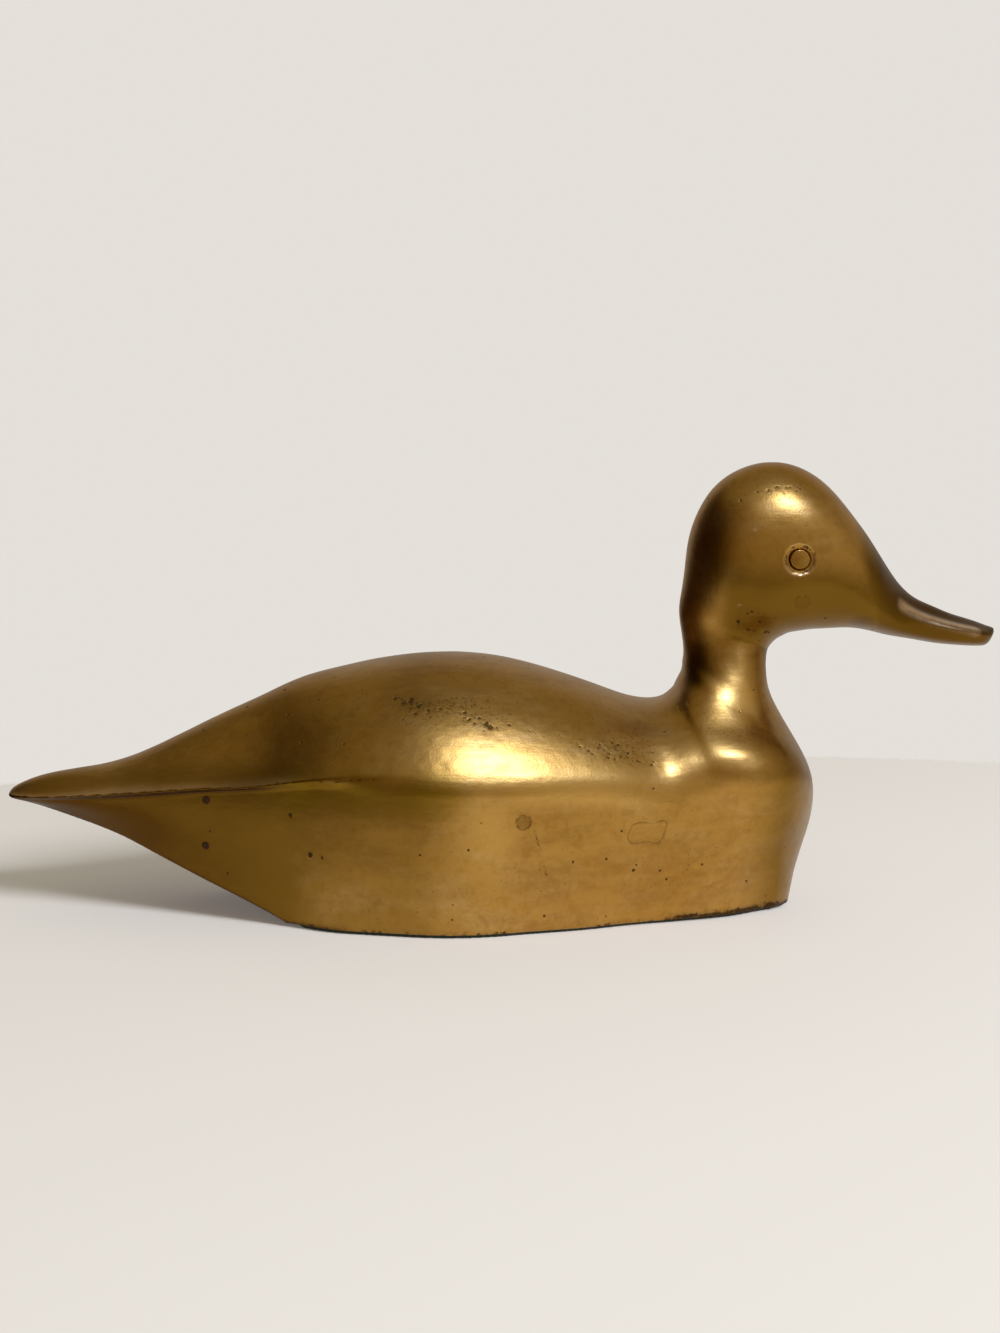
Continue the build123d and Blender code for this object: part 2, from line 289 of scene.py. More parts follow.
def find_marks(tree):
    """The pits and lines on the skin. The far side gets other ones of the same kind."""
    pits = []
    for (radius, places), crumbs in pit_groups:
        for x, y, z in places:
            pits.append((on_skin(tree, (x, y, z)), radius * luck.uniform(0.85, 1.15) * mm))
            for _ in range(crumbs if radius < 1 and y < 0 else 0):
                beside = (x + luck.gauss(0, 1.6), y, z + luck.gauss(0, 1.0))
                pits.append((on_skin(tree, beside), luck.uniform(0.3, 0.55) * mm))
            if luck.random() < 0.55:
                other = (x + luck.uniform(-9, 9), -y, z + luck.uniform(-3, 3))
                pits.append((on_skin(tree, other), radius * luck.uniform(0.7, 1.1) * mm))
    lines = []
    for radius, corners in scratches:
        lines += [(place, radius * mm) for place in along(tree, corners)]
    folds = []
    for side in (1, -1):
        corners = [(x, side * y, z) for x, y, z in crease]
        folds += [(place, fold_radius) for place in along(tree, corners)]
    ridges = []
    for side in (1, -1):
        corners = [(x, side * y, z) for x, y, z in bill_ridge]
        ridges += [(place, ridge_radius) for place in along(tree, corners)]
    return pits, lines, folds, ridges


def dent(points, normals, spots, depth):
    """Press round hollows into the skin."""
    for centre, radius in spots:
        away = points - centre
        close = np.nonzero(np.abs(away).max(axis=1) < radius)[0]
        share = np.linalg.norm(away[close], axis=1) / radius
        points[close] -= normals[close] * (depth * fall_off(share))[:, None]


# Where the sides of the breast and the neck's root are fuller than the plain sections, or
# hollower: place, reach along each axis and height, in millimetres
swells = [((75.0, 21.0, 38.0), (21, 21, 21), 1.6), ((65.0, 23.0, 42.0), (24, 16, 14), 2.7),
          ((71.0, 14.0, 69.0), (13, 13, 13), 2.2), ((62.0, 20.0, 54.5), (21, 16, 13), -1.2)]


def swell(points, normals):
    """Move both sides of the skin out or in by the swells."""
    for (x, y, z), reach, height in swells:
        for side in (1, -1):
            middle = np.array((x, side * y, z))
            share = np.linalg.norm((points / mm - middle) / np.array(reach), axis=1)
            points += normals * (height * mm * fall_off(share))[:, None]


# How far the patch leans: its outline is no true rectangle
patch_lean = 0.22

# The ring of punch marks round each eye. The radii are in millimetres from the eye's middle.
punch_marks = 12
eye_seat_depth = 3.0 * mm
eye_reach = 7 * mm
seat_radius = 3.1
inner_lip_radius = 3.45
groove_radius = 3.6
struck_radius = 3.8
shoved_radius = 4.2
lit_lip_radius = 4.4
outer_lip_radius = 4.5
eye_field_radius = 5.8


def eye_axis(node_name):
    """The middle of an eye on the skin, and the way out of the head there."""
    sums = {}
    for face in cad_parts[node_name].data.polygons:
        key = tuple(round(c, 2) for c in face.normal)
        area, middle = sums.get(key, (0.0, Vector()))
        sums[key] = (area + face.area, middle + face.center * face.area)
    normal, (area, middle) = max(sums.items(), key=lambda item: item[1][0])
    out = -Vector(normal).normalized()
    return middle / area + out * eye_seat_depth, out


eyes = [eye_axis(node_name) for node_name in ("left_eye_stud", "right_eye_stud")]


def round_eye(points, middle, out):
    """Which points lie round an eye, how far from its middle in millimetres, and at what turn."""
    middle, out = np.array(middle), np.array(out)
    level = np.cross((0, 0, 1), out)
    level /= np.linalg.norm(level)
    upright = np.cross(out, level)
    away = points - middle
    close = np.nonzero(np.linalg.norm(away, axis=1) < eye_reach)[0]
    across, up = away[close] @ level, away[close] @ upright
    return close, np.hypot(across, up) / mm, np.arctan2(up, across), level, upright


def band(far, middle, width):
    """A soft ring of a radius and a width."""
    return np.exp(-((far - middle) / width) ** 2)


def punch(points, normals):
    """Raise and press the uneven ring round each eye."""
    for middle, out in eyes:
        close, far, turn, level, upright = round_eye(points, middle, out)
        beat = np.cos(punch_marks * turn + 0.9 * np.sin(2 * turn + 0.6))
        outward = np.cos(turn)[:, None] * level + np.sin(turn)[:, None] * upright
        shift = outward * (0.24 * mm * beat * band(far, shoved_radius, 0.7))[:, None]
        raised = 0.10 * band(far, outer_lip_radius, 0.45) * (0.6 + 0.4 * beat)
        raised += 0.26 * band(far, inner_lip_radius, 0.5)
        raised -= 0.15 * band(far, groove_radius, 0.5) * (0.5 - 0.5 * beat)
        points[close] += shift + normals[close] * (raised * mm)[:, None]


def soften_cheeks(piece):
    """Round off the faint ridge along the widest part of the head, but not beside the eyes."""
    points, normals = points_of(piece), normals_of(piece)
    x, _, z = (points / mm).T
    amount = fade(np.abs(normals[:, 2]), 0, 0.6) * climb(z, 76, 82)
    amount *= climb(x, 58, 66) * fade(x, 102, 118)
    for middle, _ in eyes:
        far = np.linalg.norm(points - np.array(middle), axis=1) / mm
        amount *= 1 - fade(far, 4.5, 7.0)
    group = piece.vertex_groups.new(name="cheeks")
    for share in (0.25, 0.5, 0.75, 1.0):
        chosen = np.nonzero(amount > share - 0.125)[0]
        group.add(chosen.tolist(), share, "REPLACE")
    work(piece, "SMOOTH", factor=0.5, iterations=90, vertex_group="cheeks")


def keep_fine(piece, spots):
    """Which points of the skin aren't thinned: those of the marks and the eyes."""
    points = points_of(piece)
    fine = most(points, [(centre, radius * 1.8) for centre, radius in spots]) > 0
    for middle, out in eyes:
        close, far, _, _, _ = round_eye(points, middle, out)
        fine[close[far < eye_field_radius]] = True
    return fine


def inside_points(piece):
    """Which points lie on the walls of the hollow, where a look to either side meets metal."""
    tree = BVHTree.FromPolygons(points_of(piece).tolist(),
                                [tuple(face.vertices) for face in piece.data.polygons])
    starts = points_of(piece) + normals_of(piece) * 0.4 * mm
    left, right = Vector((0, 1, 0)), Vector((0, -1, 0))
    return np.array([tree.ray_cast(Vector(start), left)[0] is not None
                     and tree.ray_cast(Vector(start), right)[0] is not None
                     for start in starts.tolist()])


def triangles_in(piece):
    """How many triangles the faces of a piece make."""
    return sum(len(face.vertices) - 2 for face in piece.data.polygons)


def thin_where(piece, name, chosen, triangles):
    """Take triangles away from the chosen points only, until so many are left in all."""
    group = piece.vertex_groups.new(name=name)
    group.add(np.nonzero(chosen)[0].tolist(), 1.0, "REPLACE")
    count = triangles_in(piece)
    if triangles < count:
        work(piece, "DECIMATE", ratio=triangles / count, vertex_group=name)


def thin(piece, spots):
    """Take triangles away inside, and outside where there is no mark and no eye."""
    inside = inside_points(piece)
    inside_share = inside.mean()
    left = round(triangles_in(piece) * (1 - inside_share)) + inner_triangles
    thin_where(piece, "inside", inside, left)
    inside = inside_points(piece)
    fine = keep_fine(piece, spots)
    thin_where(piece, "outside", ~inside & ~fine, outer_triangles + inner_triangles)


def cast_whole():
    """Body, braze, head and what is let into them as one worn skin, so that all comes out flush."""
    true_shape = welded_copy(fused_nodes, "true_shape")
    whole = welded_copy(fused_nodes, "whole_casting")
    work(whole, "REMESH", mode="VOXEL", voxel_size=voxel)
    work(whole, "SMOOTH", factor=0.5, iterations=4)
    work(whole, "SHRINKWRAP", target=true_shape, wrap_method="NEAREST_SURFACEPOINT")
    work(whole, "SMOOTH", factor=0.5, iterations=4)
    soften_cheeks(whole)
    foot = points_of(whole)[:, 2] < rim_height + 0.3 * mm
    lumpy(whole, "file_waves", *file_waves)
    lumpy(whole, "rubbed_waves", *rubbed_waves)
    points, normals = points_of(whole), normals_of(whole)
    tree = BVHTree.FromPolygons(points.tolist(), [tuple(face.vertices) for face in whole.data.polygons])
    pits, lines, folds, ridges = find_marks(tree)
    dent(points, normals, pits, pit_depth)
    dent(points, normals, lines, scratch_depth)
    punch(points, normals)
    swell(points, normals)
    points[foot, 2] = rim_height
    points = np.clip(points, np.array(cad_box[0]), np.array(cad_box[1]))
    move_points(whole, points)
    bpy.data.objects.remove(true_shape)
    thin(whole, pits + lines)
    return whole, tree, pits, lines, folds, ridges


def joint_faces():
    """The two flat faces of the braze ring, as a point on each and the way up the neck."""
    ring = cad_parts["neck_braze_ring"].data
    flat = max(ring.polygons, key=lambda face: face.area)
    up = flat.normal if flat.normal.z > 0 else -flat.normal
    heights = [vertex.co.dot(up) for vertex in ring.vertices]
    return up * min(heights), up * max(heights), up.copy()


def cut(piece, name, keep_above=None, keep_below=None, up=None):
    """A copy of a piece that ends at one or two flat cuts, each of them closed."""
    part = bpy.data.objects.new(name, piece.data.copy())
    bpy.context.scene.collection.objects.link(part)
    pick_only(part)
    for place, lower_goes in ((keep_above, True), (keep_below, False)):
        if place is None:
            continue
        bpy.ops.object.mode_set(mode="EDIT")
        bpy.ops.mesh.select_all(action="SELECT")
        bpy.ops.mesh.bisect(plane_co=place, plane_no=up, use_fill=True,
                            clear_inner=lower_goes, clear_outer=not lower_goes)
        bpy.ops.object.mode_set(mode="OBJECT")
    return part


def shade_like(piece, whole):
    """Give a part of the skin the shading of the whole, so that the cut doesn't show."""
    work(piece, "DATA_TRANSFER", object=whole, use_loop_data=True,
         data_types_loops={"CUSTOM_NORMAL"}, loop_mapping="POLYINTERP_NEAREST")


# How far a plug, pin or patch stands proud of the skin
proud = 0.03 * mm


def let_in(node, name, tree, whole, reach=0.5 * mm, lean=0.0):
    """A plug, pin or patch whose face, within its reach of the skin, follows the worn skin."""
    piece = welded_copy([node], name)
    work(piece, "REMESH", mode="VOXEL", voxel_size=let_in_voxel)
    work(piece, "SMOOTH", factor=0.5, iterations=2)
    points = points_of(piece)
    if lean:
        middle = points.mean(axis=0)
        points[:, 0] += lean * (points[:, 2] - middle[2])
        move_points(piece, points)
    face = []
    for index, point in enumerate(points.tolist()):
        _, normal, _, away = tree.find_nearest(Vector(point))
        if away < reach and normal.y * point[1] > 0:
            face.append(index)
    piece.vertex_groups.new(name="face").add(face, 1.0, "ADD")
    work(piece, "SHRINKWRAP", target=whole, wrap_method="NEAREST_SURFACEPOINT",
         wrap_mode="ABOVE_SURFACE", offset=proud, vertex_group="face")
    return piece


def worn_stud(node, name):
    """An eye stud with its edges worn round."""
    piece = welded_copy([node], name)
    work(piece, "REMESH", mode="VOXEL", voxel_size=stud_voxel)
    work(piece, "SMOOTH", factor=0.5, iterations=6)
    return piece


whole, skin_tree, pits, lines, folds, ridges = cast_whole()
smooth_all(whole)
joint_low, joint_high, neck_up = joint_faces()
body = cut(whole, "body_skin", keep_below=joint_low, up=neck_up)
ring = cut(whole, "neck_braze", keep_above=joint_low, keep_below=joint_high, up=neck_up)
head = cut(whole, "head_skin", keep_above=joint_high, up=neck_up)
for piece in (body, ring, head):
    shade_like(piece, whole)
flank_plugs = let_in("body_core_plugs", "flank_plugs", skin_tree, whole)
cheek_plugs = let_in("cheek_core_plugs", "cheek_plugs", skin_tree, whole)
tail_pins = let_in("tail_core_pins", "tail_pins", skin_tree, whole, reach=0.7 * mm)
patch = let_in("flank_patch", "let_in_patch", skin_tree, whole, lean=patch_lean)
left_eye = worn_stud("left_eye_stud", "left_eye")
right_eye = worn_stud("right_eye_stud", "right_eye")
bpy.data.objects.remove(whole)

dressed = [
    (body, "body_casting", "body_brass"),
    (ring, "neck_braze_ring", "braze_brass"),
    (head, "head_casting", "head_brass"),
    (left_eye, "left_eye_stud", "eye_brass"),
    (right_eye, "right_eye_stud", "eye_brass"),
    (flank_plugs, "body_core_plugs", "plug_brass"),
    (cheek_plugs, "cheek_core_plugs", "plug_brass"),
    (tail_pins, "tail_core_pins", "pin_iron"),
    (patch, "flank_patch", "patch_brass"),
]
for piece, node, slot_name in dressed:
    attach(piece, "root")
    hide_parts(node)
    smooth_all(piece)


# Painting: what the materials read at each point of the skin. The zones are soft ovals, with
# their place, their reach along each axis, in millimetres, and their strength. Where not said
# otherwise, they are the same on both sides, and given for the far one.

near_foot_stains = [((-34.6, -41.9, 7.4), (4.5, 4, 1.8), 0.5), ((-4.8, -44.9, 5.3), (4.5, 4, 1.8), 0.5),
                    ((-36.6, -41.4, 6.4), (4.5, 4, 1.8), 0.5)]
back_stains = [((-24.0, 29.2, 62.0), (11, 9, 4.2), 0.62), ((-5.0, 34.2, 58.6), (9, 8, 4.0), 0.55)]
# The tail's creases are painted shade; the foot's bottom edge is darker all round, and soiled under the
# breast
fold_shade = 0.6
front_foot_dirt = 0.88
foot_edge_dark = 0.5

olive_zones = [((-54.3, 35.2, 39.1), (17, 12, 9), 1), ((-37.7, 41.4, 40.2), (17, 12, 9), 1),
               ((-18.7, 45.7, 39.6), (17, 12, 9), 1)]
pepper_zones = [((33, 32, 50), (28, 15, 8), 1), ((64, 20, 53), (17, 13, 10), 1),
                ((69, 14, 81), (10, 9, 8), 1), ((78, 13, 119), (10, 9, 4), 1),
                ((-15, 31, 61), (28, 12, 9), 1), ((97, 10, 92), (12, 10, 9), 1)]
# Painted highlights on the neck's front, the breast and the forehead
highlight_zones = [((66, 18, 60), (9, 14, 20), 0.9), ((55, 27, 48), (20, 14, 7), 0.8),
                ((94, 9, 104), (14, 12, 14), 0.6)]
# Painted shade at the neck's root, behind the head and on the back before the neck
nape_zones = [((56, 9, 68), (8, 9, 15), 1.3), ((61, 13, 98), (9, 11, 24), 0.75),
              ((42, 16, 61), (15, 16, 7), 0.7)]

# On the middle plane, and so right across the piece
# The saddle is painted shade in the hollow above the tail; the jaw is a brown patina
saddle_zone = [((-66, 0, 43), (34, 40, 8), 0.5)]
jaw_zone = [((101, 0, 82), (12, 40, 8), 1.7)]

# How dark the parts are painted: painted shade on the body, and on the head a darker brown with painted
# shade underneath and on the bill's top. 1 is deep_brown, and 2 darkest_brown
flank_dark = 0.85
tail_flank_light = 0.40
tail_underside_dark = 1.25
breast_dark = 0.55
lower_flank_dark = 0.14
back_dark = 0.26
cheek_dark = 0.28
cheek_underside_dark = 0.90
bill_dark = 1.1
bill_top_dark = 0.6
bill_underside_dark = 0.4

# Painted highlights: bright specks on the near side
lit_specks = [(70.2, -17.3, 108.6), (65.9, -15.8, 87.9)]
lit_speck_radius = 0.7 * mm


def stains_and_shade(points):
    """Painted shade in the tail's creases, stains on the back and round the foot, and a darker bottom
    edge, most of it soiled under the breast.
    """
    x, _, z = (points / mm).T
    dirt_and_shade = fold_shade * most(points, folds) * fade(np.abs(x + 42), 0, 26)
    dirt_and_shade = np.maximum(dirt_and_shade, zones(folded(points), back_stains))
    dirt_and_shade = np.maximum(dirt_and_shade, zones(points, near_foot_stains))
    dirt_and_shade = np.maximum(dirt_and_shade, front_foot_dirt * fade(x, 50, 42) * fade(z, 1.4, 4.0))
    dirt_and_shade = np.maximum(dirt_and_shade, foot_edge_dark * fade(z, 1, 3.2))
    return dirt_and_shade


def painted_shade(points, normals):
    """Painted shade in deep_brown: the flank's tail half where it faces sideways, under the tail, the
    hollow of the back, the breast, the nape, and the back where it faces up.
    """
    x, y, z = (points / mm).T
    sideways, up = np.abs(normals[:, 1]), normals[:, 2]
    flank = fade(x, -27, 3) * fade(z, 37, 46) * np.clip(sideways * 2, 0, 1)
    flank *= 1 - tail_flank_light * fade(z, 28, 38) * fade(x, -50, -75)
    flank *= np.clip(1.25 - up, 0, 1)
    below = fade(x, -52, -38) * np.clip(-up * 3, 0, 1)
    saddle = zones(flattened(points), saddle_zone) * fade(np.abs(y), 30, 14)
    breast = breast_dark * climb(x, 66, 78) * fade(z, 46, 60)
    breast += lower_flank_dark * climb(x, 4, 16) * fade(z, 36, 46)
    nape = zones(folded(points), nape_zones, np.add)
    back = back_dark * fade(x, -20, 10) * np.clip(up * 2, 0, 1)
    return flank_dark * flank + np.maximum(tail_underside_dark * below, saddle) + breast + nape + back


def head_brown_and_shade(points, normals):
    """The cheeks, the jaw and the bill are browner than the crown, most of all underneath, where it is
    painted shade; the bill's top is painted shade too.
    """
    x, _, z = (points / mm).T
    up = normals[:, 2]
    # Painted shade where the head faces down
    under = climb(up, 0.16, -0.14)
    cheek = climb(x, 58, 66) * fade(z, 90, 110) * fade(z, 70, 54)
    cheek *= cheek_dark + cheek_underside_dark * under
    jaw = zones(flattened(points), jaw_zone)
    bill = bill_dark + bill_top_dark * np.clip(up * 2, 0, 1) + bill_underside_dark * under
    return np.maximum(np.maximum(cheek, jaw), climb(x, 98, 106) * bill)


def rubbed(points):
    """Paler brass: bare and painted highlight along the bill's ridges, a painted highlight on the punched
    lips of the eyes, strongest on their lower half, and two painted highlight specks.
    """
    pale = most(points, ridges)
    for middle, out in eyes:
        close, far, turn, _, _ = round_eye(points, middle, out)
        # Painted highlight, strongest on the lip's lower half
        lip = (0.10 + 0.3 * np.clip(-np.sin(turn), 0, 1)) * band(far, lit_lip_radius, 0.35)
        pale[close] = np.maximum(pale[close], lip)
    specks = [(np.array(place) * mm, lit_speck_radius) for place in lit_specks]
    return np.maximum(pale, 0.8 * most(points, specks))


def polished(points):
    """Painted highlights and reflections: brighter below the shoulder, down the flank where it turns, and
    on the breast.
    """
    x, _, z = (points / mm).T
    upright = 0.55 * fade(np.abs(x + 4), 0, 12) * fade(np.abs(z - 32), 0, 22)
    level = 0.75 * fade(np.abs(x - 26), 0, 50) * fade(np.abs(z - 40), 0, 8)
    return np.maximum(np.maximum(upright, level), zones(folded(points), highlight_zones))


def pitted(points):
    """The pits, the scratches, the eyes' seats and the marks struck round them."""
    holes = np.maximum(most(points, pits), 0.4 * most(points, lines))
    for middle, out in eyes:
        close, far, turn, _, _ = round_eye(points, middle, out)
        seat = 0.28 * band(far, seat_radius, 0.4) * (0.7 + 0.3 * np.cos(5 * turn))
        beat = np.clip(np.cos(6 * turn + 1.3 * np.sin(3 * turn)), 0, 1)
        struck = band(far, struck_radius, 0.45) * (0.18 + 0.26 * beat)
        holes[close] = np.maximum(holes[close], np.maximum(seat, struck))
    return holes


def dress(piece):
    """Paint all that the brass reads."""
    points, normals = points_of(piece), normals_of(piece)
    paint(piece, "pitting", pitted(points))
    paint(piece, "grime", stains_and_shade(points))
    paint(piece, "deep", np.maximum(painted_shade(points, normals), head_brown_and_shade(points, normals)))
    paint(piece, "olive", zones(folded(points), olive_zones))
    paint(piece, "pepper", zones(folded(points), pepper_zones))
    paint(piece, "rubbed", rubbed(points))
    paint(piece, "polished", polished(points))


for piece, _, _ in dressed:
    dress(piece)


# Materials

class Value:
    """What a node gives out. Arithmetic on it adds Math nodes to its finish."""

    def __init__(self, finish, socket):
        self.finish = finish
        self.socket = socket

    def __add__(self, other):
        return self.finish.maths("ADD", self, other)

    def __sub__(self, other):
        return self.finish.maths("SUBTRACT", self, other)

    def __rsub__(self, other):
        return self.finish.maths("SUBTRACT", other, self)

    def __mul__(self, other):
        return self.finish.maths("MULTIPLY", self, other)

    def __truediv__(self, other):
        return self.finish.maths("DIVIDE", self, other)

    def __pow__(self, other):
        return self.finish.maths("POWER", self, other)

    __radd__ = __add__
    __rmul__ = __mul__


class Bench:
    """Where nodes are put together, for a material or for the room."""

    def __init__(self, owner):
        owner.use_nodes = True
        self.nodes = owner.node_tree.nodes
        self.links = owner.node_tree.links

    def feed(self, node, inputs):
        for key, value in inputs.items():
            if isinstance(value, Value):
                self.links.new(value.socket, node.inputs[key])
            else:
                node.inputs[key].default_value = value

    def node(self, kind, settings=None, inputs=None, out=0):
        """Add a node: its settings first, then the values or links of its sockets."""
        node = self.nodes.new(kind)
        for setting, value in (settings or {}).items():
            if setting == "stops":
                stops = node.color_ramp.elements
                while len(stops) < len(value):
                    stops.new(0.5)
                for stop, (place, colour) in zip(stops, value):
                    stop.position = place
                    stop.color = (*colour, 1)
            else:
                setattr(node, setting, value)
        self.feed(node, inputs or {})
        return Value(self, node.outputs[out])

    def maths(self, operation, first, second):
        return self.node("ShaderNodeMath", {"operation": operation}, {0: first, 1: second})

    def larger(self, first, second):
        return self.maths("MAXIMUM", first, second)

    def smaller(self, first, second):
        return self.maths("MINIMUM", first, second)

    def rise(self, value, low, high, bottom=0.0, top=1.0):
        """From bottom to top as a value goes from low to high, softly at both ends."""
        return self.node("ShaderNodeMapRange", {"interpolation_type": "SMOOTHSTEP"},
                         {"Value": value, "From Min": low, "From Max": high,
                          "To Min": bottom, "To Max": top})

    def blend(self, amount, first, second):
        """One colour into another."""
        colours = [(*c, 1) if isinstance(c, tuple) else c for c in (first, second)]
        return self.node("ShaderNodeMix", {"data_type": "RGBA"},
                         {0: amount, 6: colours[0], 7: colours[1]}, out=2)

    def stretched(self, size, shift=(0, 0, 0)):
        """Places on the piece, in steps of a size in millimetres: one size, or one for each axis."""
        size = size if isinstance(size, tuple) else (size, size, size)
        return self.node("ShaderNodeMapping", None,
                         {"Vector": self.place, "Scale": [1 / (s * mm) for s in size],
                          "Location": shift})

    def noise(self, size, detail=2.0, rough=0.5, shift=(0, 0, 0), warp=0.0):
        return self.node("ShaderNodeTexNoise", None,
                         {"Vector": self.stretched(size, shift), "Scale": 1.0,
                          "Detail": detail, "Roughness": rough, "Distortion": warp})

    def scattered(self, size, out):
        return self.node("ShaderNodeTexVoronoi", {"feature": "F1"},
                         {"Vector": self.stretched(size), "Scale": 1.0}, out=out)

    def specks(self, size):
        """The distance to the nearest of many scattered specks, in steps of their spacing."""
        return self.scattered(size, "Distance")

    def speck_luck(self, size):
        """A number of its own for each speck, so that few of them show."""
        return self.node("ShaderNodeSeparateColor", None,
                         {"Color": self.scattered(size, "Color")}, out=0)

    def xyz(self, value):
        parts = self.nodes.new("ShaderNodeSeparateXYZ")
        self.feed(parts, {0: value})
        return [Value(self, socket) for socket in parts.outputs]

    def both_sides(self):
        """Places on the piece, with the far side folded over onto the near one."""
        x, y, z = self.xyz(self.place)
        return self.node("ShaderNodeCombineXYZ", None, {0: x, 1: 0 - self.maths("ABSOLUTE", y, 0.0), 2: z})

    def ring(self, centre, radius, width):
        """A thin round line, the same on both sides."""
        far = self.node("ShaderNodeVectorMath", {"operation": "DISTANCE"},
                        {0: self.folded, 1: [c * mm for c in centre]}, out="Value")
        away = self.maths("ABSOLUTE", far - radius * mm, 0.0)
        return self.rise(away, width * mm, width * 0.3 * mm)

    def painted(self, name):
        return self.node("ShaderNodeAttribute", {"attribute_name": name}, out="Fac")

    def bumpy(self, height, distance, below=None):
        inputs = {"Height": height, "Distance": distance, "Strength": 1.0}
        if below is not None:
            inputs["Normal"] = below
        return self.node("ShaderNodeBump", None, inputs, out="Normal")


class Finish(Bench):
    """A node material with one main shader."""

    def __init__(self, name, **fixed):
        self.material = bpy.data.materials.new(name)
        super().__init__(self.material)
        self.shader = self.nodes["Principled BSDF"]
        self.done(**fixed)
        self.place = self.node("ShaderNodeTexCoord", out="Object")

    def done(self, **inputs):
        self.feed(self.shader, {key.replace("_", " "): value for key, value in inputs.items()})
        return self.material


gold = (0.52, 0.285, 0.062)
pale_gold = (0.60, 0.37, 0.12)
# A paler gold for painted highlights, and bare brass that is partly painted highlight
highlight_gold = (0.80, 0.48, 0.13)
bare_and_lit = (0.84, 0.60, 0.40)
brown = (0.36, 0.165, 0.025)
deep_brown = (0.21, 0.110, 0.011)
darkest_brown = (0.11, 0.048, 0.004)
olive = (0.25, 0.150, 0.008)
# Colours for stains, pits and soiling, used also for painted shade
stain_and_shade = (0.13, 0.060, 0.012)
dirt_and_shade = (0.050, 0.024, 0.006)

rust = ((0.030, 0.012, 0.004), (0.06, 0.024, 0.008))
felt_green = ((0.012, 0.022, 0.014), (0.03, 0.05, 0.035))

# The brass where nothing has tarnished it, the heights of what is drawn on it, and the spacing of
# its smallest holes in millimetres
plain_rough = 0.325
grain_height = 0.035 * mm
streak_height = 0.05 * mm
hole_depth = 0.10 * mm
hole_spacing = 4.2

# Where the let-in pieces lie, in millimetres: their fine outlines are drawn on the skin
flank_plug_place = (6.3, -43.4, 31.8)
cheek_plug_place = (83.5, -17.2, 88.6)
patch_place = (40.0, -35.9, 27.4)
patch_half = (4.95, 2.85)
patch_corner = 1.6


def patch_outline(f):
    """The thin dark line round the patch, on the near side only."""
    x, y, z = f.xyz(f.place)
    across = x / mm - patch_place[0] + (f.noise(4, 1, shift=(7, 1, 1)) - 0.5) * 2.2
    up = z / mm - patch_place[2] + (f.noise(4, 1, shift=(1, 7, 1)) - 0.5) * 2.2
    across = f.maths("ABSOLUTE", across - up * patch_lean, 0.0) - (patch_half[0] - patch_corner)
    up = f.maths("ABSOLUTE", up, 0.0) - (patch_half[1] - patch_corner)
    beyond = (f.larger(across, 0.0) ** 2 + f.larger(up, 0.0) ** 2) ** 0.5
    away = beyond + f.smaller(f.larger(across, up), 0.0) - patch_corner
    near_side = f.rise(y, -0.02, -0.03)
    return f.rise(f.maths("ABSOLUTE", away, 0.0), 0.36, 0.08) * near_side * 0.8


def tarnished_gold(f):
    """Gold and paler gold, with brown tarnish, mottle and flecks. Also how tarnished it is."""
    tarnish = f.rise(f.broad * 0.45 + f.patches * 0.35 + f.streaks * 0.2, 0.40, 0.68)
    tarnish = tarnish * f.rise(f.flecks, 0.2, 0.75, 0.75, 1.15)
    colour = f.blend(f.rise(f.patches, 0.42, 0.75), gold, pale_gold)
    colour = f.blend(f.rise(tarnish, 0.1, 1.0) * 0.65, colour, brown)
    mottle = f.rise(f.noise(3.2, 3, 0.65, shift=(8, 5, 5), warp=0.6), 0.44, 0.72)
    colour = f.blend(mottle * 0.38, colour, brown)
    flecked = f.noise(0.9, 3, 0.75, shift=(6, 6, 2)) + f.painted("pepper") * 0.12
    return f.blend(f.rise(flecked, 0.63, 0.71) * 0.6, colour, stain_and_shade), tarnish


def with_zones(f, colour):
    """The colour with its brown zones, most of them painted shade, its olive ones, its painted highlights,
    and its paler ones, bare and painted highlight.
    """
    # Brown tone and painted shade, as painted on the skin
    deep = f.painted("deep")
    deep = deep + (f.broad - 0.5) * f.smaller(deep * 4, 1.0) * 0.5 + (f.streaks - 0.5) * 0.12 * deep
    colour = f.blend(f.rise(deep, 0.0, 1.0), colour, deep_brown)
    colour = f.blend(f.rise(deep, 0.9, 2.0), colour, darkest_brown)
    green = f.painted("olive") * f.rise(f.streaks, 0.3, 0.6, 0.6, 1.0)
    colour = f.blend(green * 0.8, colour, olive)
    # Painted highlights
    highlight = f.painted("polished") * f.rise(f.broad, 0.35, 0.6, 0.6, 1.0)
    colour = f.blend(highlight, colour, highlight_gold)
    # Bare brass and painted highlights
    worn_and_lit_share = f.painted("rubbed") * f.rise(f.flecks, 0.3, 0.6, 0.75, 1.0)
    return f.blend(worn_and_lit_share, colour, bare_and_lit)


def ragged_pits(f, holes):
    """The pits and scratches with ragged edges, and the small holes."""
    hollow = f.painted("pitting")
    ragged = hollow + (f.noise(0.7, 2, 0.7, shift=(3, 3, 5)) - 0.5) * f.smaller(hollow * 4, 1.0) * 1.1
    return f.smaller(f.larger(holes, f.rise(ragged, 0.15, 0.5)), 1.0)


def fine_outlines(f):
    """The fine broken lines round the plugs and the patch."""
    breaks = f.rise(f.noise(1.1, 2, 0.6, shift=(2, 8, 3)), 0.36, 0.56)
    lines = f.larger(f.ring(flank_plug_place, 2.0, 0.55), f.ring(cheek_plug_place, 2.05, 0.4) * 0.5)
    return f.larger(lines * breaks, patch_outline(f) * f.rise(breaks, 0, 1, 0.35, 1.0))


